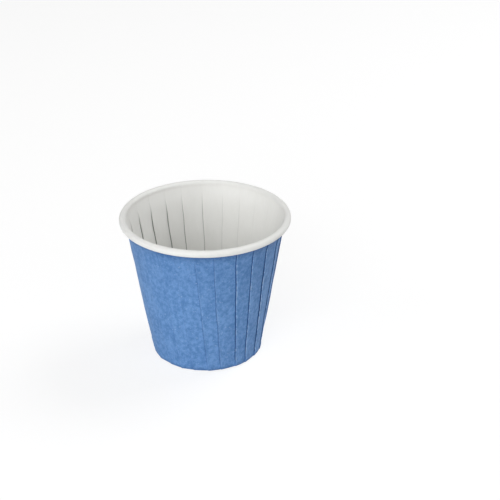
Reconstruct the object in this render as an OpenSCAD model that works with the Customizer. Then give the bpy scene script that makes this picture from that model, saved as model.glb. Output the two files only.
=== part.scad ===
// Pleated paper baking cup with a rolled rim, folded from one round sheet.
// Millimetres, +Z up, origin at the centre of the base underside.

/* [Cup] */
// Diameter over the rolled rim
rim_d = 76; // [66:0.5:90]
// Diameter of the base across its folded corner
base_d = 50; // [44:0.5:58]
// Height from the table to the top of the rim
cup_h = 66.5; // [45:0.5:78]
// Radius of the bend between the base and the wall
corner_r = 1; // [0.8:0.1:2.5]

/* [Paper] */
// Thickness of the paper
paper_t = 0.25; // [0.18:0.01:0.32]
// Air between two folded layers
layer_gap = 0.06; // [0.05:0.01:0.09]

/* [Pleats] */
// Number of pleats around the wall
pleats = 24; // [18:1:28]
// Azimuth of the first pleat's root on the base, in degrees
first_pleat_deg = 14.7; // [0:0.1:20]
// Part of each lap that leans back from the pleat's root
lean_share = 0.74; // [0.5:0.02:0.8]
// How far the pleats drift from their even places on one side, in degrees
drift_deg = 2.1; // [0:0.1:3]
// How far single pleats stray beside that drift, in degrees
stray_deg = 0.8; // [0:0.1:1]
// Height above the base's bend at which the folds are fully shut
shut_h = 4.5; // [3:0.5:8]

/* [Rim] */
// Diameter of the roll's section
roll_d = 3.2; // [2.8:0.05:4]
// Thickness of the rolled layers
roll_t = 0.7; // [0.5:0.05:0.8]
// Slot left between the roll's free edge and the wall
roll_slot = 0.2; // [0.15:0.05:0.4]
// Height of the smooth band pressed flat below the roll
band_h = 2.2; // [1.5:0.1:5]

/* [Colours] */
// Outside of the paper
outside_colour = "#6c93c0"; // [#6c93c0, #b9855a, #c9534f]
// Inside of the paper, which the roll turns outwards
inside_colour = "#f2f0ec"; // [#f2f0ec, #e9dcc6]

/* [Hidden] */
$fn = 96;

// Layers: three lie in each lap, one layer_pitch apart
layer_pitch = paper_t + layer_gap;
stack_t = paper_t + 2 * layer_pitch;
bend_r = layer_pitch / 2;
half_t = paper_t / 2;

// The roll, and the band below it, thick enough to hide the pleats' flat-sided upper ends
rim_r = rim_d / 2;
roll_r = roll_d / 2;
roll_mid = [rim_r - roll_r, cup_h - roll_r];
band_cover = 0.02;
longest_chord = PI * rim_r / pleats;
band_skin = band_cover + longest_chord * longest_chord / (8 * rim_r);
band_t = stack_t + 2 * band_skin;
// How far the roll runs on into the band, and the wall's last rings below and inside the band
roll_lap_deg = 15;
below_band = 0.2;
into_band = 1;

// The wall's line, along the middle of the innermost layer
foot = [base_d / 2 - half_t - layer_pitch, half_t];
top_r = rim_r - roll_d + band_skin + half_t;
wall_lean = atan((top_r - foot[0]) / (roll_mid[1] - foot[1]));
wall_up = [sin(wall_lean), cos(wall_lean)];
wall_out = [cos(wall_lean), -sin(wall_lean)];
band_foot_z = roll_mid[1] - roll_r - band_h;
band_foot_s = (band_foot_z - foot[1]) / wall_up[1];
corner_turn = 90 - wall_lean;
corner_run = corner_r * tan(corner_turn / 2);

// Laps: what a flat disc has to lose as it is drawn up into a cone
lap_per_mm = PI * (1 - wall_up[0]) / pleats;
least_lap = 0.3;
widest_lap_share = 0.8;
// Paper that lies flat beyond each end of a fold, before it slopes to the next one
mouth_margin = 0.25;

// A ring is [point on the wall's line, outward direction, distance up the wall,
// bend of the fold in degrees, how much of the fold's relief shows]
function corner_ring(turn, bend, relief) = [
    foot + [corner_r * sin(turn) - corner_run, corner_r * (1 - cos(turn))],
    [sin(turn), -cos(turn)], 0, bend, relief];
function wall_ring(s, bend) = [foot + s * wall_up, wall_out, s, bend, 1];

// The folds open out at the base corner, and are shut from shut_s upwards
root_s = corner_run + shut_h / 3;
shut_s = corner_run + shut_h;
rings = [
    corner_ring(0, 30, 0),
    corner_ring(corner_turn / 2, 45, 0.4),
    corner_ring(corner_turn, 65, 0.8),
    wall_ring(root_s, 90),
    for (share = [0, 1 / 3, 2 / 3]) wall_ring(shut_s + share * (band_foot_s - shut_s), 180),
    wall_ring(band_foot_s - below_band, 180),
    wall_ring(band_foot_s + into_band, 180)
];

// Width of a lap s mm up the wall, held below the pleats' pitch there
function lap_at(s, r) =
    max(least_lap, min(s * lap_per_mm, widest_lap_share * 2 * PI * r / pleats));

// Half a fold, from the mouth below the outer nose to the middle of the lap, as
// [along, out, direction in degrees] from that middle. The other half is its mirror point.
function half_fold(lap, bend) =
    let (
        bend_end = -lap / 2 * [cos(bend), sin(bend)],
        centre = bend_end - bend_r * [sin(bend), -cos(bend)],
        arc = [for (a = [0, bend / 2, bend]) concat(centre + bend_r * [sin(a), -cos(a)], a)],
        mouth = [min(-arc[1][0] - half_t, arc[0][0]) - mouth_margin, arc[0][1], 0],
        mid_x = arc[0][0] > mouth_margin ? 0 : (mouth[0] + arc[0][0]) / 2,
        inner_mid = [mid_x, arc[0][1], 0]
    )
    concat([mouth, inner_mid], arc, [[0, 0, bend]]);

function turned(p) = [-p[0], -p[1], p[2]];

// The whole fold in order along the sheet, 11 stations
function fold(lap, bend) =
    let (half = half_fold(lap, bend), last = len(half) - 1)
    concat(half, [for (i = [last - 1:-1:0]) turned(half[i])]);

stations = 11;
columns = pleats * stations;

// Azimuth of pleat k's middle, in degrees, where the wall has radius r, with even pleats
function even_azimuth(k, r, lap) =
    first_pleat_deg + 360 * k / pleats + (0.5 - lean_share) * lap / r * 180 / PI;

// The pleats aren't quite even: waves of [number around, size in degrees, start] shift them
stray_waves = [
    [1, drift_deg, -124],
    [6, stray_deg, 169],
    [11, 0.6 * stray_deg, 45]
];
function strayed(a) =
    a + [for (wave = stray_waves) wave[1] * sin(wave[0] * a + wave[2])] * [1, 1, 1];

// One side of the sheet at a ring: side is 1 outside and -1 inside
function ring_points(ring, side) =
    let (
        r = ring[0][0], z = ring[0][1], out = ring[1], relief = ring[4],
        lap = lap_at(ring[2], r),
        path = fold(lap, ring[3]),
        first_y = path[0][1]
    )
    [for (k = [0:pleats - 1], p = path)
        let (
            along = p[0] - side * half_t * sin(p[2] * relief),
            off = (p[1] - first_y) * relief + side * half_t * cos(p[2] * relief),
            azimuth = strayed(even_azimuth(k, r, lap) + along / r * 180 / PI),
            reach = r + off * out[0]
        )
        [reach * cos(azimuth), reach * sin(azimuth), z + off * out[1]]];

// Two triangles between column i and the next one, and rows a and b of points
function strip(a, b, i) =
    let (j = (i + 1) % columns)
    [[a + i, b + i, b + j], [a + i, b + j, a + j]];

// The base and the pleated wall, as one folded sheet
module folded_sheet() {
    last = len(rings) - 1;
    inside = len(rings) * columns;
    hub = 2 * inside;
    polyhedron(
        points = concat(
            [for (ring = rings) each ring_points(ring, 1)],
            [for (ring = rings) each ring_points(ring, -1)],
            [[0, 0, 0], [0, 0, paper_t]]
        ),
        faces = concat(
            [for (j = [0:last - 1], i = [0:columns - 1])
                each strip(j * columns, (j + 1) * columns, i)],
            [for (j = [0:last - 1], i = [0:columns - 1])
                each strip(inside + (j + 1) * columns, inside + j * columns, i)],
            [for (i = [0:columns - 1])
                each strip(last * columns, inside + last * columns, i)],
            [for (i = [0:columns - 1]) [hub, i, (i + 1) % columns]],
            [for (i = [0:columns - 1]) [hub + 1, inside + (i + 1) % columns, inside + i]]
        ),
        convexity = 12
    );
}

function ray(length, angle) = length * [cos(angle), sin(angle)];

// Half of the rim's section: the pressed band, and the roll that starts inside its upper end
module rim_section() {
    band_top = roll_mid - roll_r * wall_out;
    band_length = (band_top[1] - band_foot_z) / wall_up[1];
    curl_r = roll_r - roll_t / 2;
    free_edge = -wall_lean - acos((band_t + roll_slot + roll_t / 2 - roll_r) / curl_r);
    open_from = 180 - wall_lean + roll_lap_deg;
    open_to = 360 + free_edge;
    difference() {
        translate(roll_mid) circle(roll_r);
        translate(roll_mid) circle(roll_r - roll_t);
        translate(roll_mid)
            polygon([
                [0, 0],
                for (angle = [open_from, (open_from + open_to) / 2, open_to])
                    ray(2 * roll_r, angle)
            ]);
    }
    translate(roll_mid + ray(curl_r, free_edge)) circle(roll_t / 2);
    polygon([
        band_top,
        band_top + band_t * wall_out,
        band_top + band_t * wall_out - band_length * wall_up,
        band_top - band_length * wall_up
    ]);
}

module rolled_rim() {
    rotate_extrude() rim_section();
}

module cup() {
    color(outside_colour) folded_sheet();
    color(inside_colour) rolled_rim();
}

cup();
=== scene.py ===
"""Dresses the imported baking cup: a pleated paper sheet with a rolled rim, on a pale floor.

The cup is one sheet of paper. Geometry Nodes fold it: a flat grid is carried along each pleat's
Z-fold in one direction, and from the middle of the base over the corner, up the wall and round the
rolled rim in the other.
"""

import logging
import math
from dataclasses import dataclass, field, fields
from enum import Enum
from typing import TypeAlias

import bpy
from mathutils import Matrix, Vector


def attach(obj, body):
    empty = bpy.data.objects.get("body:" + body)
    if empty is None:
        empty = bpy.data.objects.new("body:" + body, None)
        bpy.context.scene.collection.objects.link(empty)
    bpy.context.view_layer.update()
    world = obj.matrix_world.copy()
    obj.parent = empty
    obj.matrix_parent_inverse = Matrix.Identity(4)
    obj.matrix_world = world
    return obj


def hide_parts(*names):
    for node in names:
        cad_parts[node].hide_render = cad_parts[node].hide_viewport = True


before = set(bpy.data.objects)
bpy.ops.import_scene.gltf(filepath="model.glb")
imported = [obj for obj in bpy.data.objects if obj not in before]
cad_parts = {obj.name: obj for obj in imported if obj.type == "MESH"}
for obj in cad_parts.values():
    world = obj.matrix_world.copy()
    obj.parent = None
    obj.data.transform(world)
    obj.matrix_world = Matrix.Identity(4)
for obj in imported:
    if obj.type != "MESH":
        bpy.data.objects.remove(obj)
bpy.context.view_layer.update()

MM = 0.001
WHITE = (1.0, 1.0, 1.0, 1.0)
LOG = logging.getLogger("baking_cup")

Colour: TypeAlias = tuple[float, float, float, float]
Span: TypeAlias = tuple[float, float]
Number: TypeAlias = "Field | float"

# The roll: how far it turns, over which angles it widens and tightens, and by how many millimetres
ROLL_TURN = math.radians(286)
ROLL_WIDENS: Span = (0.0, 1.2)
ROLL_TIGHTENS: Span = (3.6, 5.0)
ROLL_SQUEEZE = 0.22
# Spacing of the wall's rows at its foot, where 1 is even
FOOT_ROWS = 0.7
# Share of the corner at which the wall has started
CORNER_DONE = 0.999
# Bend of the open folds on the base, and what the corner adds to it
BASE_BEND, CORNER_BEND = math.radians(30), math.radians(35)
# Narrowest lap, and the flat paper past each end of a fold, in millimetres
LEAST_LAP = 0.3
MOUTH_MARGIN = 0.06
# Distance in millimetres that a mark holds where its fold is out of reach
FAR_OFF = 5.0
# Brings a noise texture, which keeps near 0.5, to between about -1 and 1
NOISE_SPREAD = 2.6
# Starts of the waves that shift the pleats, and the place and reach of the one that slipped
WAVE_STARTS = (math.radians(-124), math.radians(169), math.radians(45))
SLIPPED_AT, SLIP_REACH = math.radians(280), math.radians(9)
# Flats of the base's corner: waves around the cup, with two flats to a wave, and where they start
FLAT_WAVES, FLAT_START = 5.5, math.radians(242)
# Height above the corner at which its flare has fallen to about a third, in millimetres
FLARE_REACH = 1.5
# Azimuths about which the painted shade and painted highlight along the outside's folds are
# faintest, and the painted shade along the inside's folds is darkest
OUTER_SHADE_HIGHLIGHT_LEAST, INNER_SHADE_MOST = math.radians(205), math.radians(150)
# Points closer than this, in metres, are one: the grid's seam, and the middle of the base
MERGE_DISTANCE = 1e-6
# A face counts as inside where its mark is above this, so the paper's cut edge does too
INSIDE_FROM = 0.25


class Side(Enum):
    """Which face of the paper a material dresses."""

    OUTSIDE = "outside"
    INSIDE = "inside"


class Ripple(Enum):
    """Uses of the noise: waves per millimetre, and a layer that tells one use from another."""

    SWAY = (0.11, 1.0)
    LIFT = (0.16, 2.0)
    SWELL = (0.075, 3.0)


@dataclass(frozen=True)
class CupSizes:
    """The cup's driving sizes, in millimetres and degrees.

    They are the part's own, but the paper is drawn thinner and its layers lie closer, as pressed.
    """

    rim_d: float = 76.0
    base_d: float = 50.0
    cup_h: float = 66.5
    corner_r: float = 0.7
    paper_t: float = 0.2
    layer_gap: float = 0.02
    pleats: int = 24
    first_pleat_deg: float = 14.7
    lean_share: float = 0.74
    drift_deg: float = 2.1
    stray_deg: float = 0.8
    shut_h: float = 4.5
    roll_d: float = 3.2
    band_h: float = 1.2
    band_skin: float = 0.08

    @property
    def half_t(self) -> float:
        """Half of the paper's thickness."""
        return self.paper_t / 2

    @property
    def bend_r(self) -> float:
        """Radius of a shut fold, along the middle of the paper."""
        return (self.paper_t + self.layer_gap) / 2

    @property
    def roll_r(self) -> float:
        """Radius of the rolled rim's section."""
        return self.roll_d / 2

    @property
    def roll_mid(self) -> tuple[float, float]:
        """Middle of the roll's section, as radius and height."""
        return self.rim_d / 2 - self.roll_r, self.cup_h - self.roll_r

    @property
    def foot_r(self) -> float:
        """Radius at which the wall's line meets the base's, along the innermost layer."""
        return self.base_d / 2 - self.paper_t - 4 * self.bend_r

    @property
    def wall_lean(self) -> float:
        """How far the wall leans out, in radians."""
        top_r = self.rim_d / 2 - self.roll_d + self.band_skin + self.half_t
        return math.atan((top_r - self.foot_r) / (self.roll_mid[1] - self.half_t))

    @property
    def corner_run(self) -> float:
        """How much of the wall's line the corner's bend takes up."""
        return self.corner_r * math.tan((math.pi / 2 - self.wall_lean) / 2)

    @property
    def wall_length(self) -> float:
        """Length of the wall's line from the corner's bend to where the roll starts."""
        rise = self.roll_mid[1] - self.half_t + self.wall_to_roll * math.sin(self.wall_lean)
        return rise / math.cos(self.wall_lean) - self.corner_run

    @property
    def wall_to_roll(self) -> float:
        """Distance of the wall's line from the middle of the roll."""
        return self.roll_r - self.band_skin - self.half_t

    @property
    def lap_per_mm(self) -> float:
        """Width that each lap gains for each millimetre up the wall."""
        return math.pi * (1 - math.sin(self.wall_lean)) / self.pleats


@dataclass(frozen=True)
class PaperPlay:
    """How far the real paper departs from the plain rule, in millimetres and degrees.

    The two seeds choose its noise and how loosely each pleat is pressed.
    """

    outer_lift: float = 0.08
    inner_lift: float = 0.06
    lift_reach: float = 0.8
    sway: float = 0.4
    swell: float = 0.14
    panel_flat: float = 0.4
    flare: float = 0.3
    drawn_in: float = 0.45
    facet: float = 0.4
    under_rim: float = 0.12
    slip_deg: float = 2.0
    seed: float = 3.7
    pleat_seed: int = 1291


@dataclass(frozen=True)
class SheetCounts:
    """How many faces each stretch of the sheet has, across a pleat and up the cup."""

    inner: int = 5
    bend: int = 4
    middle: int = 3
    outer: int = 4
    ramp: int = 8
    base: int = 6
    corner: int = 5
    wall: int = 31
    band: int = 5
    roll: int = 15

    @property
    def per_pleat(self) -> int:
        """Faces across one pleat."""
        return self.inner + 2 * self.bend + self.middle + self.outer + self.ramp

    @property
    def per_side(self) -> int:
        """Faces from the middle of the base to the roll's free edge."""
        return self.base + self.corner + self.wall + self.band + self.roll


@dataclass(frozen=True)
class WallSpans:
    """Stretches up the wall, in millimetres, over which each effect comes in or fades out."""

    relief_in: Span = (0.8, 2.4)
    relief_out: Span = (55.0, 61.5)
    sway_in: Span = (3.0, 14.0)
    lift_in: Span = (1.0, 9.0)
    lift_out: Span = (50.0, 61.0)
    panel_out: Span = (4.0, 45.0)
    swell_in: Span = (0.5, 10.0)
    swell_out: Span = (52.0, 62.0)
    hollow_in: Span = (0.0, 45.0)
    hollow_out: Span = (59.5, 63.0)
    under_rim_in: Span = (60.5, 63.5)
    facet_out: Span = (0.0, 16.0)
    # Painted shade along the folds comes in over the first and fades out over the second
    crease_in: Span = (0.5, 6.0)
    crease_out: Span = (51.5, 63.0)
    # Fold edges scuffed pale, partly with a painted highlight, come in over this
    wear_and_highlight_in: Span = (1.0, 5.0)
    # Painted shade at the foot's corner, darker towards the top, and painted shadow under the rim
    foot_shade_out: Span = (0.3, 1.2)
    high_shade_in: Span = (32.0, 56.0)
    rim_shade_in: Span = (61.5, 62.7)


SPANS = WallSpans()


class Field:
    """A number in a node tree that Python's arithmetic works on."""

    def __init__(self, tree: bpy.types.NodeTree, socket: bpy.types.NodeSocket) -> None:
        """Wraps an output socket.

        Args:
            tree: The node tree that the socket is in.
            socket: The output socket that holds the number.
        """
        self.tree = tree
        self.socket = socket

    def maths(self, operation: str, *values: Number) -> "Field":
        """Adds a Math node.

        Args:
            operation: The Math node's operation.
            values: Its inputs in order, as fields or plain numbers.

        Returns:
            The node's result.
        """
        node = self.tree.nodes.new("ShaderNodeMath")
        node.operation = operation
        for slot, value in zip(node.inputs, values):
            feed(self.tree, slot, value)
        return Field(self.tree, node.outputs[0])

    def __add__(self, other: Number) -> "Field":
        """Sum of both."""
        return self.maths("ADD", self, other)

    def __radd__(self, other: Number) -> "Field":
        """Sum of both."""
        return self.maths("ADD", other, self)

    def __sub__(self, other: Number) -> "Field":
        """This less the other."""
        return self.maths("SUBTRACT", self, other)

    def __rsub__(self, other: Number) -> "Field":
        """The other less this."""
        return self.maths("SUBTRACT", other, self)

    def __mul__(self, other: Number) -> "Field":
        """Product of both."""
        return self.maths("MULTIPLY", self, other)

    def __rmul__(self, other: Number) -> "Field":
        """Product of both."""
        return self.maths("MULTIPLY", other, self)

    def __truediv__(self, other: Number) -> "Field":
        """This divided by the other."""
        return self.maths("DIVIDE", self, other)

    def __neg__(self) -> "Field":
        """This with its sign turned."""
        return self.maths("MULTIPLY", self, -1.0)

    def sin(self) -> "Field":
        """Sine of this angle in radians."""
        return self.maths("SINE", self)

    def cos(self) -> "Field":
        """Cosine of this angle in radians."""
        return self.maths("COSINE", self)

    def atan(self) -> "Field":
        """Angle in radians whose tangent this is."""
        return self.maths("ARCTANGENT", self)

    def exp(self) -> "Field":
        """e to the power of this."""
        return self.maths("EXPONENT", self)

    def unsigned(self) -> "Field":
        """This without its sign."""
        return self.maths("ABSOLUTE", self)

    def floor(self) -> "Field":
        """Largest whole number not above this."""
        return self.maths("FLOOR", self)

    def round(self) -> "Field":
        """Nearest whole number."""
        return self.maths("ROUND", self)

    def least(self, other: Number) -> "Field":
        """The smaller of both."""
        return self.maths("MINIMUM", self, other)

    def most(self, other: Number) -> "Field":
        """The larger of both."""
        return self.maths("MAXIMUM", self, other)

    def above(self, other: Number) -> "Field":
        """1 where this is above the other, else 0."""
        return self.maths("GREATER_THAN", self, other)

    def share(self, start: Number, end: Number) -> "Field":
        """How far this has come from start to end, held between 0 and 1.

        Args:
            start: Value that gives 0.
            end: Value that gives 1.

        Returns:
            The share.
        """
        node = self.tree.nodes.new("ShaderNodeMapRange")
        for slot, value in zip(node.inputs, (self, start, end, 0.0, 1.0)):
            feed(self.tree, slot, value)
        return Field(self.tree, node.outputs[0])

    def soft(self) -> "Field":
        """This share from 0 to 1, soft at both ends."""
        return self * self * (3.0 - 2.0 * self)

    def eased(self, start: Number, end: Number) -> "Field":
        """As share, but soft at both ends.

        Args:
            start: Value that gives 0.
            end: Value that gives 1.

        Returns:
            The eased share.
        """
        return self.share(start, end).soft()

    def fading(self, start: Number, end: Number) -> "Field":
        """As eased, but from 1 down to 0.

        Args:
            start: Value that gives 1.
            end: Value that gives 0.

        Returns:
            What is left.
        """
        return 1.0 - self.eased(start, end)

    def towards(self, other: Number, part: Number) -> "Field":
        """This, moved a part of the way to the other.

        Args:
            other: Value reached where part is 1.
            part: How much of the way is gone.

        Returns:
            The value between.
        """
        return self + (other - self) * part


def feed(tree: bpy.types.NodeTree, slot: bpy.types.NodeSocket, value: Number) -> None:
    """Links a field to an input socket, or writes a plain value on it.

    Args:
        tree: The tree that both are in.
        slot: The input socket.
        value: A field, a socket or a plain value.
    """
    if isinstance(value, Field):
        tree.links.new(value.socket, slot)
    elif isinstance(value, bpy.types.NodeSocket):
        tree.links.new(value, slot)
    else:
        slot.default_value = value


@dataclass
class Profile:
    """Where a row of the sheet lies on the cup's section, as fields."""

    radius: Field
    height: Field
    heading: Field
    turn_radius: Field
    climb: Field
    on_base: Field
    on_corner: Field
    on_band: Field
    on_roll: Field


@dataclass
class Fold:
    """Where a column of the sheet lies on its pleat's section, as fields."""

    along: Field
    out: Field
    heading: Field
    nose: Field
    tuck: Field
    ramp: Field
    outer_gap: Field
    inner_gap: Field
    from_nose: Field
    pitch: Field


class SheetTree:
    """Builds the node tree that folds a flat grid into the pleated cup."""

    def __init__(self, sizes: CupSizes, play: PaperPlay, counts: SheetCounts) -> None:
        """Makes an empty tree with a named input for each size.

        Args:
            sizes: The cup's sizes.
            play: How far the paper departs from the rule.
            counts: Faces along each stretch.
        """
        self.sizes = sizes
        self.play = play
        self.counts = counts
        self.values: dict[str, float] = {}
        self.keys: dict[str, str] = {}
        self.tree = bpy.data.node_groups.new("folded_sheet", "GeometryNodeTree")
        self.tree.is_modifier = True
        for way in ("INPUT", "OUTPUT"):
            self.tree.interface.new_socket(
                "Geometry", in_out=way, socket_type="NodeSocketGeometry")
        self._name_inputs()
        self.group_in = self.tree.nodes.new("NodeGroupInput")
        self.group_out = self.tree.nodes.new("NodeGroupOutput")

    def _name_inputs(self) -> None:
        """Adds one input for each size, worked-out length and amount of play."""
        derived = ("half_t", "bend_r", "roll_r", "foot_r", "wall_lean", "corner_run",
                   "wall_length", "wall_to_roll", "lap_per_mm")
        for part in (self.sizes, self.play):
            for entry in fields(part):
                self.values[entry.name] = float(getattr(part, entry.name))
        for name in derived:
            self.values[name] = getattr(self.sizes, name)
        for name, value in self.values.items():
            title = name.replace("_", " ").capitalize()
            socket = self.tree.interface.new_socket(
                title, in_out="INPUT", socket_type="NodeSocketFloat")
            socket.default_value = value
            self.keys[name] = socket.identifier

    def size(self, name: str) -> Field:
        """The tree's input of that name.

        Args:
            name: The name that the size has in its dataclass.

        Returns:
            The input as a field.
        """
        key = self.keys[name]
        socket = next(s for s in self.group_in.outputs if s.identifier == key)
        return Field(self.tree, socket)

    def node(self, kind: str, *values: Number, **settings: object) -> bpy.types.Node:
        """Adds a node and feeds its inputs in order.

        Args:
            kind: The node's type name.
            values: Values for its inputs, where None leaves one alone.
            settings: Node properties to set first.

        Returns:
            The node.
        """
        node = self.tree.nodes.new(kind)
        for name, setting in settings.items():
            setattr(node, name, setting)
        for slot, value in zip(node.inputs, values):
            if value is not None:
                feed(self.tree, slot, value)
        return node

    def noise(self, x: Field, y: Field, z: Field, use: Ripple) -> Field:
        """Smooth noise about zero, between about -1 and 1.

        Args:
            x: First coordinate, in millimetres.
            y: Second coordinate.
            z: Third coordinate.
            use: What the noise is for.

        Returns:
            The noise.
        """
        scale, layer = use.value
        spot = self.node("ShaderNodeCombineXYZ", x, y, z + self.size("seed") * layer)
        texture = self.node("ShaderNodeTexNoise", spot.outputs[0], None, scale, 1.0)
        return (Field(self.tree, texture.outputs[0]) - 0.5) * NOISE_SPREAD

    def rows(self, grid_v: Field) -> tuple[Field, Field]:
        """Sorts the grid's rows into outside and inside of the paper.

        Args:
            grid_v: Height on the flat grid, from 0 to 1.

        Returns:
            The row's number from the middle of the base, and 1 on the inside or else 0.
        """
        per_side = self.counts.per_side
        number = (grid_v * (2 * per_side + 1)).round()
        inside = number.above(per_side + 0.5)
        return number.towards(2 * per_side + 1 - number, inside), inside

    def profile(self, row: Field) -> Profile:
        """Carries a row along the cup's section.

        Args:
            row: The row's number from the middle of the base.

        Returns:
            The row's place and direction.
        """
        counts = self.counts
        lean = self.size("wall_lean")
        half_t = self.size("half_t")
        corner_start = counts.base
        wall_start = corner_start + counts.corner
        band_start = wall_start + counts.wall
        roll_start = band_start + counts.band
        on_base = row.share(0, corner_start)
        on_corner = row.share(corner_start, wall_start)
        on_band = row.share(band_start, roll_start)
        on_roll = row.share(roll_start, roll_start + counts.roll)
        wall_part = row.share(wall_start, band_start)
        band_h = self.size("band_h")
        rows_up = wall_part * (FOOT_ROWS + (1.0 - FOOT_ROWS) * wall_part)
        up_wall = rows_up * (self.size("wall_length") - band_h) + on_band * band_h

        corner_turn = (math.pi / 2 - lean) * on_corner
        corner_r = self.size("corner_r")
        flat_r = self.size("foot_r") - self.size("corner_run")
        turn_radius = flat_r + corner_r * corner_turn.sin() + up_wall * lean.sin()
        radius = turn_radius - flat_r * (1.0 - on_base)
        height = half_t + corner_r * (1.0 - corner_turn.cos()) + up_wall * lean.cos()

        curl = on_roll * ROLL_TURN
        angle = math.pi - lean - curl
        full_r = self.size("roll_r") - half_t
        spiral_r = self.size("wall_to_roll").towards(full_r, curl.eased(*ROLL_WIDENS))
        spiral_r = spiral_r - ROLL_SQUEEZE * curl.eased(*ROLL_TIGHTENS)
        roll_r, roll_z = self.sizes.roll_mid
        on_curl = on_roll.above(0.0)
        radius = radius.towards(roll_r + spiral_r * angle.cos(), on_curl)
        height = height.towards(roll_z + spiral_r * angle.sin(), on_curl)
        return Profile(
            radius=radius,
            height=height,
            heading=corner_turn - curl,
            turn_radius=turn_radius,
            climb=up_wall + self.size("corner_run") * on_corner.above(CORNER_DONE),
            on_base=on_base,
            on_corner=on_corner,
            on_band=on_band,
            on_roll=on_roll,
        )

    def lap(self, profile: Profile) -> Field:
        """Width of the lap on a row, from what a flat disc has to lose there.

        Args:
            profile: The row's place.

        Returns:
            The width.
        """
        return (profile.climb * self.size("lap_per_mm")).most(LEAST_LAP)

    def bend(self, profile: Profile) -> Field:
        """How far the folds are bent on a row: a half turn where they are shut.

        Args:
            profile: The row's place.

        Returns:
            The bend in radians.
        """
        corner_run = self.size("corner_run")
        opened = BASE_BEND + CORNER_BEND * profile.on_corner
        shut = profile.climb.share(corner_run, corner_run + self.size("shut_h"))
        return opened.towards(math.pi, shut)

    def fold(self, station: Field, profile: Profile, lap: Field, bend: Field) -> Fold:
        """Carries a column along its pleat's Z-fold.

        The sheet runs under the lap, turns back at the tuck, turns forward again at the nose, runs
        over the lap and slopes down to the next mouth.

        Args:
            station: The column's number within its pleat.
            profile: The row's place.
            lap: Width of the lap.
            bend: How far each fold is bent.

        Returns:
            The column's place along and out from the wall, and its direction.
        """
        counts = self.counts
        stretches = (counts.inner, counts.bend, counts.middle,
                     counts.bend, counts.outer, counts.ramp)
        starts = [sum(stretches[:i]) for i in range(len(stretches))]
        shares = [station.share(a, a + n) for a, n in zip(starts, stretches)]
        inner, tuck_turn, middle, nose_turn, outer, ramp = shares

        bend_r = self.size("bend_r")
        half_t = self.size("half_t")
        tuck_start = -0.5 * lap * bend.cos() - bend_r * bend.sin()
        tip = tuck_start + bend_r * (0.5 * bend).sin()
        mouth = (-tip - half_t).least(tuck_start) - MOUTH_MARGIN
        run = tuck_start - mouth
        pitch = 2 * math.pi * profile.turn_radius / self.size("pleats")
        slope_run = pitch + 2.0 * mouth
        rise = lap * bend.sin() + 2.0 * bend_r * (1.0 - bend.cos())
        slope = rise / pitch

        past_tuck = ramp.soft() * slope_run
        first_turn = tuck_turn * bend
        second_turn = (1.0 - nose_turn) * bend
        along = (mouth + inner.soft() * run + bend_r * first_turn.sin() + middle * lap * bend.cos()
                 + bend_r * (bend.sin() - second_turn.sin()) + outer * outer * run + past_tuck)
        out = (bend_r * (1.0 - first_turn.cos()) + middle * lap * bend.sin()
               + bend_r * (second_turn.cos() - bend.cos()) - slope * (along - tuck_start))
        heading = (tuck_turn - nose_turn) * bend - slope.atan()

        reach = self.size("lift_reach")
        from_nose = along + tip
        nose = tuck_turn * (-from_nose.most(0.0) / reach).exp() * (1.0 - ramp)
        tuck = inner * (-(tip - along).most(0.0) / reach).exp() * (1.0 - nose_turn)

        on_ramp = ramp.above(0.0)
        return Fold(
            along=along,
            out=out,
            heading=heading,
            nose=nose,
            tuck=tuck,
            ramp=ramp.soft(),
            outer_gap=(FAR_OFF * nose_turn).towards(slope_run - past_tuck, on_ramp),
            inner_gap=(FAR_OFF - FAR_OFF * tuck_turn).towards(past_tuck, on_ramp),
            from_nose=from_nose,
            pitch=pitch,
        )

    def strayed(self, azimuth: Field) -> Field:
        """Shifts the pleats from their even places, by three waves and where one slipped.

        Args:
            azimuth: The even azimuth, in radians.

        Returns:
            The real azimuth, in radians.
        """
        drift = self.size("drift_deg") * math.radians(1)
        stray = self.size("stray_deg") * math.radians(1)
        once = (azimuth + WAVE_STARTS[0]).sin()
        six = (6.0 * azimuth + WAVE_STARTS[1]).sin()
        eleven = (11.0 * azimuth + WAVE_STARTS[2]).sin()
        beside = (azimuth - SLIPPED_AT) / SLIP_REACH
        slip = self.size("slip_deg") * math.radians(1) * (-(beside * beside)).exp()
        return azimuth + drift * once + stray * (six + 0.6 * eleven) - slip

    def place(self, profile: Profile, fold: Fold, lap: Field, pleat: Field,
              inside: Field) -> dict[str, Field]:
        """Works out a point of the sheet, and the marks that its finish reads.

        Args:
            profile: The row's place.
            fold: The column's place in its pleat.
            lap: Width of the lap.
            pleat: The pleat's number.
            inside: 1 on the inside of the paper, else 0.

        Returns:
            Fields named x, y, z, gap, past, crease, wear and shade.
        """
        start = math.radians(1) * self.size("first_pleat_deg")
        lean_back = (0.5 - self.size("lean_share")) * lap
        even = (start + 2 * math.pi * pleat / self.size("pleats")
                + (lean_back + fold.along) / profile.turn_radius)
        climb = profile.climb
        loose = self.looseness(pleat).towards(self.looseness(pleat + 1.0), fold.ramp)
        ring = (profile.turn_radius * even.cos(), profile.turn_radius * even.sin())
        sway = self.size("sway") * climb.eased(*SPANS.sway_in) * (0.25 + 0.75 * loose)
        sway = sway * self.noise(*ring, climb, Ripple.SWAY)
        azimuth = self.strayed(even + sway / profile.turn_radius)

        relief = (0.8 * profile.on_corner + 0.2 * climb.share(*SPANS.relief_in)).least(1.0)
        smooth_band = (1.0 - 0.85 * climb.eased(*SPANS.relief_out)).towards(1.0, 1.0 - inside)
        relief = relief * smooth_band * (1.0 - 0.5 * profile.on_roll.eased(0.0, 0.2))
        changing = 1.0 + 0.55 * self.noise(*ring, 0.35 * climb, Ripple.LIFT)
        free = climb.eased(*SPANS.lift_in) * climb.fading(*SPANS.lift_out)
        lift = fold.nose * self.size("outer_lift") - fold.tuck * self.size("inner_lift")
        lift = lift * free * changing

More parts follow.
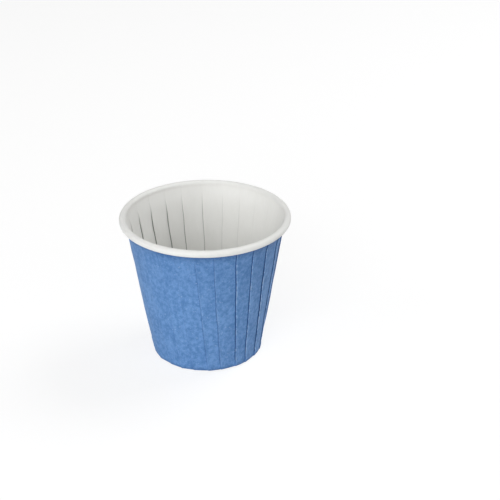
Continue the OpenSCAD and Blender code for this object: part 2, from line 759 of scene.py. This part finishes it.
        side = self.size("half_t") * (1.0 - 2.0 * inside)
        heading = fold.heading * relief
        off = fold.out * relief + lift + side * heading.cos()
        turned = azimuth - side * heading.sin() / profile.turn_radius
        reach = (profile.radius + off * profile.heading.sin()
                 + self.out_of_true(profile, fold, azimuth, ring))
        height = profile.height - off * profile.heading.cos()
        return {
            "x": reach * turned.cos() * MM,
            "y": reach * turned.sin() * MM,
            "z": height * MM,
            **self.marks(profile, fold, azimuth, loose, inside),
        }

    def out_of_true(self, profile: Profile, fold: Fold, azimuth: Field,
                    ring: tuple[Field, Field]) -> Field:
        """How far a point of the sheet lies outside of its plain cone.

        Args:
            profile: The row's place.
            fold: The column's place in its pleat.
            azimuth: The column's azimuth, in radians.
            ring: Its place on the row's even circle, for the noise.

        Returns:
            The distance in millimetres, below zero where the paper is drawn in.
        """
        climb = profile.climb
        across = fold.from_nose.most(0.0).least(fold.pitch)
        flat = self.size("panel_flat") * (1.0 - 0.75 * climb.eased(*SPANS.panel_out))
        dip = (flat * profile.on_base * across * (fold.pitch - across)
               / (2.0 * profile.turn_radius))
        swell = self.size("swell") * (0.6 + climb.eased(*SPANS.swell_in))
        swell = swell * climb.fading(*SPANS.swell_out)
        swell = swell * self.noise(*ring, climb, Ripple.SWELL) * profile.on_corner
        flare = self.size("flare") * profile.on_corner * (-climb / FLARE_REACH).exp()
        hollow = self.size("drawn_in") * climb.share(*SPANS.hollow_in)
        hollow = hollow * climb.fading(*SPANS.hollow_out)
        under_rim = self.size("under_rim") * climb.eased(*SPANS.under_rim_in)
        under_rim = under_rim * profile.on_band.fading(0.3, 1.0)
        facets = (FLAT_WAVES * (azimuth - FLAT_START)).sin().unsigned() - 0.5
        facets = self.size("facet") * facets * profile.on_corner
        return swell - dip + flare - hollow + under_rim - facets * climb.fading(*SPANS.facet_out)

    def marks(self, profile: Profile, fold: Fold, azimuth: Field, loose: Field,
              inside: Field) -> dict[str, Field]:
        """Works out the finish's marks: painted shade, and fold edges scuffed pale with a painted
        highlight.

        Args:
            profile: The row's place.
            fold: The column's place in its pleat.
            azimuth: The column's azimuth, in radians.
            loose: How loosely the pleat is pressed.
            inside: 1 on the inside of the paper, else 0.

        Returns:
            Fields named gap, past, crease, wear and shade.
        """
        climb = profile.climb
        # Painted shade along the folds, and outside the painted highlight on their edges, are
        # faintest about one azimuth outside and darkest about another inside
        outer_fold_shade_highlight = 1.0 - 0.88 * (azimuth - OUTER_SHADE_HIGHLIGHT_LEAST).cos().eased(0.45, 0.81)
        inner_fold_shade = 0.25 + 0.75 * (azimuth - INNER_SHADE_MOST).cos().eased(0.05, 1.15)
        # Strength of the painted shade along the folds
        shown = (outer_fold_shade_highlight * (1.0 - 0.7 * loose)).towards(inner_fold_shade, inside)
        shown = shown * climb.fading(*SPANS.crease_out).towards(1.0, 1.0 - inside)
        # Fold edges scuffed pale: partly real wear, partly a painted highlight where they face the
        # light
        worn_and_highlight = outer_fold_shade_highlight * (1.0 - 0.85 * loose) * climb.eased(*SPANS.wear_and_highlight_in)
        off_roll = 1.0 - profile.on_roll.above(0.0)
        # Painted shade: darker towards the top, a painted shadow under the rolled rim, and painted
        # shade along the foot's corner
        shade = (0.1 * climb.eased(*SPANS.high_shade_in)
                 + 0.55 * climb.eased(*SPANS.rim_shade_in)
                 + 0.5 * profile.on_corner * (1.0 - climb.share(*SPANS.foot_shade_out)))
        return {
            "gap": fold.outer_gap.towards(fold.inner_gap, inside),
            "past": fold.from_nose.unsigned(),
            "crease": shown * climb.eased(*SPANS.crease_in) * off_roll,
            "wear_and_highlight": worn_and_highlight * off_roll,
            "shade": shade * off_roll * (1.0 - inside),
        }

    def looseness(self, pleat: Field) -> Field:
        """How loosely a pleat is pressed, from 0 to 1, at random.

        Args:
            pleat: The pleat's number.

        Returns:
            The looseness.
        """
        chance = self.node("FunctionNodeRandomValue", data_type="FLOAT")
        feed(self.tree, chance.inputs["Seed"], self.size("pleat_seed"))
        turns = ((pleat + 0.5) / self.size("pleats")).floor()
        feed(self.tree, chance.inputs["ID"], pleat - turns * self.size("pleats"))
        number = next(s for s in chance.outputs if s.type == "VALUE" and s.enabled)
        return Field(self.tree, number)

    def build(self, outer: bpy.types.Material, inner: bpy.types.Material) -> None:
        """Adds the nodes from the grid to the finished mesh.

        Args:
            outer: Material of the paper's outside.
            inner: Material of its inside and its cut edge.
        """
        counts = self.counts
        columns = self.sizes.pleats * counts.per_pleat
        rows = 2 * counts.per_side + 1
        grid = self.node("GeometryNodeMeshGrid", 1.0, 1.0, columns + 1, rows + 1)
        position = self.node("GeometryNodeInputPosition")
        split = self.node("ShaderNodeSeparateXYZ", position.outputs[0])
        grid_u = Field(self.tree, split.outputs[0]) + 0.5
        grid_v = Field(self.tree, split.outputs[1]) + 0.5

        column = (grid_u * columns).round()
        pleat = ((column + 0.25) / counts.per_pleat).floor()
        station = column - pleat * counts.per_pleat
        row, inside = self.rows(grid_v)
        profile = self.profile(row)
        lap, bend = self.lap(profile), self.bend(profile)
        fold = self.fold(station, profile, lap, bend)
        spot = self.place(profile, fold, lap, pleat, inside)

        point = [spot.pop(axis) for axis in ("x", "y", "z")]
        geometry = grid.outputs[0]
        for name, value in {"inside": inside, **spot}.items():
            store = self.node("GeometryNodeStoreNamedAttribute", geometry,
                              data_type="FLOAT", domain="POINT")
            store.inputs["Name"].default_value = name
            feed(self.tree, store.inputs["Value"], value)
            geometry = store.outputs[0]
        where = self.node("ShaderNodeCombineXYZ", *point)
        placed = self.node("GeometryNodeSetPosition", geometry, None, where.outputs[0])
        merged = self.node("GeometryNodeMergeByDistance", placed.outputs[0])
        merged.inputs["Distance"].default_value = MERGE_DISTANCE
        smooth = self.node("GeometryNodeSetShadeSmooth", merged.outputs[0])
        real = self.node("GeometryNodeRealizeInstances", smooth.outputs[0])
        dressed = self.node("GeometryNodeSetMaterial", real.outputs[0])
        dressed.inputs["Material"].default_value = outer
        marked = self.node("GeometryNodeInputNamedAttribute", "inside", data_type="FLOAT")
        lined = self.node("GeometryNodeSetMaterial", dressed.outputs[0],
                          Field(self.tree, marked.outputs[0]).above(INSIDE_FROM))
        lined.inputs["Material"].default_value = inner
        self.tree.links.new(lined.outputs[0], self.group_out.inputs[0])


class ShaderMaker:
    """Short calls for building a material's nodes."""

    def __init__(self, name: str) -> None:
        """Starts a material with one Principled shader.

        Args:
            name: The material's name.
        """
        self.material = bpy.data.materials.new(name)
        self.material.use_nodes = True
        self.tree = self.material.node_tree
        self.shader = self.tree.nodes["Principled BSDF"]
        self.coords = self.tree.nodes.new("ShaderNodeTexCoord").outputs["Object"]

    def noise(self, scale: float, detail: float, upwards: float = 1.0) -> Field:
        """Noise on the object's own coordinates.

        Args:
            scale: Waves per metre.
            detail: Octaves of finer noise.
            upwards: Scale of the heights first, below 1 to draw the noise out up the wall.

        Returns:
            The noise, about 0.5.
        """
        place = self.tree.nodes.new("ShaderNodeMapping")
        place.inputs["Scale"].default_value = (1.0, 1.0, upwards)
        self.tree.links.new(self.coords, place.inputs["Vector"])
        node = self.tree.nodes.new("ShaderNodeTexNoise")
        node.inputs["Scale"].default_value = scale
        node.inputs["Detail"].default_value = detail
        self.tree.links.new(place.outputs[0], node.inputs["Vector"])
        return Field(self.tree, node.outputs[0])

    def mark(self, name: str) -> Field:
        """A mark that the sheet's nodes stored on the mesh.

        Args:
            name: The attribute's name.

        Returns:
            Its value.
        """
        node = self.tree.nodes.new("ShaderNodeAttribute")
        node.attribute_name = name
        return Field(self.tree, node.outputs["Fac"])

    def line(self, distance: str, width: Number) -> Field:
        """A soft line along a fold.

        Args:
            distance: Name of the mark that holds the distance from the fold, in millimetres.
            width: Half of the line's width, in millimetres.

        Returns:
            1 on the fold, falling to 0 beside it.
        """
        share = self.mark(distance) / width
        return (-(share * share)).exp()

    def crease(self, least: float, spread: float) -> Field:
        """The painted shadow in a fold, of uneven width.

        Args:
            least: Half of its least width, in millimetres.
            spread: How much the noise adds to that.

        Returns:
            1 deep in a sharp fold, falling to 0 beside it.
        """
        uneven = least + spread * self.noise(260.0, 2.0, 0.5)
        return self.line("gap", uneven) * self.mark("crease")

    def mix(self, part: Field, first: object, second: object) -> bpy.types.NodeSocket:
        """Mixes two colours.

        Args:
            part: How much of the second shows.
            first: A colour or a colour socket.
            second: A colour or a colour socket.

        Returns:
            The mixed colour's socket.
        """
        node = self.tree.nodes.new("ShaderNodeMix")
        node.data_type = "RGBA"
        feed(self.tree, node.inputs["Factor"], part)
        # A Mix node's colours are its inputs 6 and 7 and its output 2, as its other types come first
        feed(self.tree, node.inputs[6], first)
        feed(self.tree, node.inputs[7], second)
        return node.outputs[2]

    def bump(self, height: Field, depth: float) -> None:
        """Roughens the surface.

        Args:
            height: The relief, from about 0 to 1.
            depth: How deep it is, in metres.
        """
        node = self.tree.nodes.new("ShaderNodeBump")
        node.inputs["Distance"].default_value = depth
        feed(self.tree, node.inputs["Height"], height)
        self.tree.links.new(node.outputs[0], self.shader.inputs["Normal"])

    def finish(self, colour: bpy.types.NodeSocket, roughness: float,
               specular: float) -> bpy.types.Material:
        """Gives the shader its colour and gloss.

        Args:
            colour: The colour's socket.
            roughness: The shader's roughness.
            specular: The shader's specular level.

        Returns:
            The finished material.
        """
        self.tree.links.new(colour, self.shader.inputs["Base Color"])
        self.shader.inputs["Roughness"].default_value = roughness
        self.shader.inputs["Specular IOR Level"].default_value = specular
        return self.material


@dataclass(frozen=True)
class BluePaper:
    """Dyed outside of the paper: mottled, faintly fibrous, scuffed pale with a painted highlight on
    its folds, and painted shade.
    """

    light: Colour = (0.153, 0.316, 0.615, 1.0)
    deep: Colour = (0.086, 0.217, 0.473, 1.0)
    # Pale blue of the paper's specks, of its scuffed fold edges and of their painted highlight
    rubbed: Colour = (0.34, 0.5, 0.74, 1.0)
    # Colour of the painted shade in the folds and near the rim and the foot
    shadow: Colour = (0.001, 0.04, 0.17, 1.0)
    roughness: float = 0.62
    specular: float = 0.3
    contrast: float = 6.0
    scuff_highlight_width: float = 0.36
    crease_width: Span = (0.2, 0.28)
    relief: float = 0.00006

    def make(self) -> bpy.types.Material:
        """Builds the material.

        Returns:
            The finished material.
        """
        maker = ShaderMaker("blue_paper")
        cloud = maker.noise(110.0, 2.0)
        mottle = maker.noise(640.0, 2.0, 0.8)
        grain = maker.noise(1700.0, 2.0)
        fibre = maker.noise(420.0, 2.0, 0.16)
        tone = 0.14 * cloud + 0.44 * mottle + 0.26 * grain + 0.16 * fibre - 0.5
        tone = (tone * self.contrast + 0.5).share(0.0, 1.0)
        colour = maker.mix(tone, self.deep, self.light)
        specks = maker.noise(1300.0, 1.0).share(0.66, 0.76)
        colour = maker.mix(0.5 * specks, colour, self.rubbed)
        # Fold edges scuffed pale, partly real wear and partly a painted highlight
        scuff_and_highlight = 0.12 + 0.78 * maker.noise(900.0, 2.0, 0.5).share(0.45, 0.6)
        scuff_and_highlight = scuff_and_highlight * maker.line("past", self.scuff_highlight_width) * maker.mark("wear_and_highlight")
        colour = maker.mix(scuff_and_highlight, colour, self.rubbed)
        # Painted shade: in the folds, under the rim, at the foot and towards the top
        dark = maker.crease(*self.crease_width).most(maker.mark("shade"))
        colour = maker.mix(dark, colour, self.shadow)
        maker.bump(0.6 * mottle + 0.4 * grain, self.relief)
        return maker.finish(colour, self.roughness, self.specular)


@dataclass(frozen=True)
class WhitePaper:
    """Bleached inside of the paper, which also shows on the rolled rim, with painted shade along its
    folds.
    """

    light: Colour = (0.865, 0.865, 0.845, 1.0)
    deep: Colour = (0.81, 0.81, 0.785, 1.0)
    shadow: Colour = (0.16, 0.165, 0.15, 1.0)
    roughness: float = 0.55
    specular: float = 0.3
    contrast: float = 2.0
    crease_width: Span = (0.16, 0.2)
    relief: float = 0.00004

    def make(self) -> bpy.types.Material:
        """Builds the material.

        Returns:
            The finished material.
        """
        maker = ShaderMaker("white_paper")
        cloud = maker.noise(60.0, 2.0)
        fibre = maker.noise(700.0, 3.0, 0.25)
        grain = maker.noise(2400.0, 2.0)
        tone = 0.45 * cloud + 0.35 * fibre + 0.2 * grain - 0.5
        tone = (tone * self.contrast + 0.5).share(0.0, 1.0)
        colour = maker.mix(tone, self.deep, self.light)
        # Painted shade along the inside's folds
        colour = maker.mix(maker.crease(*self.crease_width), colour, self.shadow)
        maker.bump(0.5 * fibre + 0.5 * grain, self.relief)
        return maker.finish(colour, self.roughness, self.specular)


@dataclass
class PaperCup:
    """The whole cup: one folded sheet of paper."""

    sizes: CupSizes = field(default_factory=CupSizes)
    play: PaperPlay = field(default_factory=PaperPlay)
    counts: SheetCounts = field(default_factory=SheetCounts)
    finishes: dict[Side, BluePaper | WhitePaper] = field(
        default_factory=lambda: {Side.OUTSIDE: BluePaper(), Side.INSIDE: WhitePaper()})

    def build(self) -> bpy.types.Object:
        """Folds the sheet and hands it to the frame in place of the CAD node.

        Returns:
            The finished piece.
        """
        folder = SheetTree(self.sizes, self.play, self.counts)
        folder.build(self.finishes[Side.OUTSIDE].make(), self.finishes[Side.INSIDE].make())
        carrier = bpy.data.objects.new("sheet_carrier", bpy.data.meshes.new("sheet_carrier"))
        bpy.context.scene.collection.objects.link(carrier)
        modifier = carrier.modifiers.new("folding", "NODES")
        modifier.node_group = folder.tree
        for name, key in folder.keys.items():
            modifier[key] = folder.values[name]
        bpy.context.view_layer.update()
        depsgraph = bpy.context.evaluated_depsgraph_get()
        mesh = bpy.data.meshes.new_from_object(carrier.evaluated_get(depsgraph))
        mesh.name = "paper_cup"
        bpy.data.objects.remove(carrier)
        cup = bpy.data.objects.new("paper_cup", mesh)
        bpy.context.scene.collection.objects.link(cup)
        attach(cup, "root")
        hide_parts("cup")
        LOG.info("paper_cup: %d faces", len(mesh.polygons))
        return cup


@dataclass(frozen=True)
class SoftBox:
    """One square lamp that faces the cup."""

    name: str
    place: tuple[float, float, float]
    size: float
    watts: float

    def build(self, target: Vector) -> bpy.types.Object:
        """Makes the lamp.

        Args:
            target: Point that it faces.

        Returns:
            The lamp's object.
        """
        lamp = bpy.data.lights.new(self.name, "AREA")
        lamp.size = self.size
        lamp.energy = self.watts
        holder = bpy.data.objects.new(self.name, lamp)
        holder.location = self.place
        holder.rotation_euler = (target - Vector(self.place)).to_track_quat("-Z", "Y").to_euler()
        bpy.context.scene.collection.objects.link(holder)
        return holder


def seen_rays(tree: bpy.types.NodeTree) -> Field:
    """Tells what is seen, straight or by gloss or through glass, from what only gives light.

    Args:
        tree: The material's or the world's node tree.

    Returns:
        1 for camera, glossy and transmission rays, else 0.
    """
    path = tree.nodes.new("ShaderNodeLightPath")
    camera, glossy, through = (
        Field(tree, path.outputs[f"Is {kind} Ray"])
        for kind in ("Camera", "Glossy", "Transmission"))
    return camera.most(glossy).most(through)


@dataclass
class Studio:
    """The pale floor, the soft light and the white surroundings."""

    floor_size: float = 6.0
    floor_drop: float = 0.0001
    floor_roughness: float = 0.9
    floor_specular: float = 0.1
    floor_colour: Colour = (0.78, 0.78, 0.78, 1.0)
    floor_shown: Colour = (0.26, 0.26, 0.26, 1.0)
    floor_glow: float = 0.79
    sky_strength: float = 0.08
    aim_height: float = 0.03
    boxes: tuple[SoftBox, ...] = (
        SoftBox("key", (-0.36, -0.94, 0.45), 0.7, 5.7),
        SoftBox("high", (-0.36, -0.9, 0.95), 0.7, 2.5),
        SoftBox("left", (-0.95, -0.35, 0.5), 0.7, 2.8),
        SoftBox("right", (0.62, -0.8, 0.45), 0.7, 1.2),
        SoftBox("back", (0.62, 0.35, 0.85), 0.6, 6.2),
    )

    def build(self) -> None:
        """Makes the floor, the lamps and the world."""
        self._floor()
        self._world()
        for box in self.boxes:
            box.build(Vector((0.0, 0.0, self.aim_height)))
        LOG.info("studio: %d lamps", len(self.boxes))

    def _floor(self) -> None:
        """Makes the floor, a plain sheet under the cup."""
        half = self.floor_size / 2
        mesh = bpy.data.meshes.new("floor")
        corners = [(x * half, y * half, -self.floor_drop)
                   for x, y in ((-1, -1), (1, -1), (1, 1), (-1, 1))]
        mesh.from_pydata(corners, [], [(0, 1, 2, 3)])
        floor = bpy.data.objects.new("floor", mesh)
        bpy.context.scene.collection.objects.link(floor)
        maker = ShaderMaker("floor")
        seen = seen_rays(maker.tree)
        maker.shader.inputs["Emission Color"].default_value = WHITE
        feed(maker.tree, maker.shader.inputs["Emission Strength"], seen * self.floor_glow)
        colour = maker.mix(seen, self.floor_colour, self.floor_shown)
        mesh.materials.append(maker.finish(colour, self.floor_roughness, self.floor_specular))

    def _world(self) -> None:
        """Makes the world: soft light for the cup, plain white for the camera."""
        world = bpy.data.worlds.new("studio")
        bpy.context.scene.world = world
        world.use_nodes = True
        tree = world.node_tree
        shown = tree.nodes["Background"]
        shown.inputs["Color"].default_value = WHITE
        lit = tree.nodes.new("ShaderNodeBackground")
        lit.inputs["Color"].default_value = WHITE
        lit.inputs["Strength"].default_value = self.sky_strength
        mix = tree.nodes.new("ShaderNodeMixShader")
        feed(tree, mix.inputs["Fac"], seen_rays(tree))
        tree.links.new(lit.outputs[0], mix.inputs[1])
        tree.links.new(shown.outputs[0], mix.inputs[2])
        tree.links.new(mix.outputs[0], tree.nodes["World Output"].inputs["Surface"])


@dataclass(frozen=True)
class PhotoCamera:
    """The camera at the photograph's viewing angle, looking down at the cup from the front."""

    distance: float = 0.567
    elevation_deg: float = 28.38
    aim_height: float = 0.03325
    yaw_deg: float = 2.275
    pitch_deg: float = 27.04
    lens: float = 90.0
    sensor: float = 36.0

    def build(self) -> bpy.types.Object:
        """Makes the camera and gives it to the scene.

        Returns:
            The camera's object.
        """
        elevation = math.radians(self.elevation_deg)
        yaw, pitch = math.radians(self.yaw_deg), math.radians(self.pitch_deg)
        place = Vector((0.0, -self.distance * math.cos(elevation),
                        self.aim_height + self.distance * math.sin(elevation)))
        level = math.cos(pitch)
        forward = Vector((math.sin(yaw) * level, math.cos(yaw) * level, -math.sin(pitch)))
        right = forward.cross(Vector((0.0, 0.0, 1.0))).normalized()
        turn = Matrix((right, right.cross(forward), -forward)).transposed().to_4x4()
        lens = bpy.data.cameras.new("photo_camera")
        lens.lens = self.lens
        lens.sensor_width = self.sensor
        camera = bpy.data.objects.new("photo_camera", lens)
        camera.matrix_world = Matrix.Translation(place) @ turn
        bpy.context.scene.collection.objects.link(camera)
        bpy.context.scene.camera = camera
        LOG.info("camera: %.0f mm lens", self.lens)
        return camera


def main() -> None:
    """Builds the cup, the studio and the camera."""
    logging.basicConfig(level=logging.INFO, format="%(name)s %(message)s")
    bpy.context.scene.view_settings.view_transform = "Standard"
    PaperCup().build()
    Studio().build()
    PhotoCamera().build()


if __name__ == "__main__":
    main()
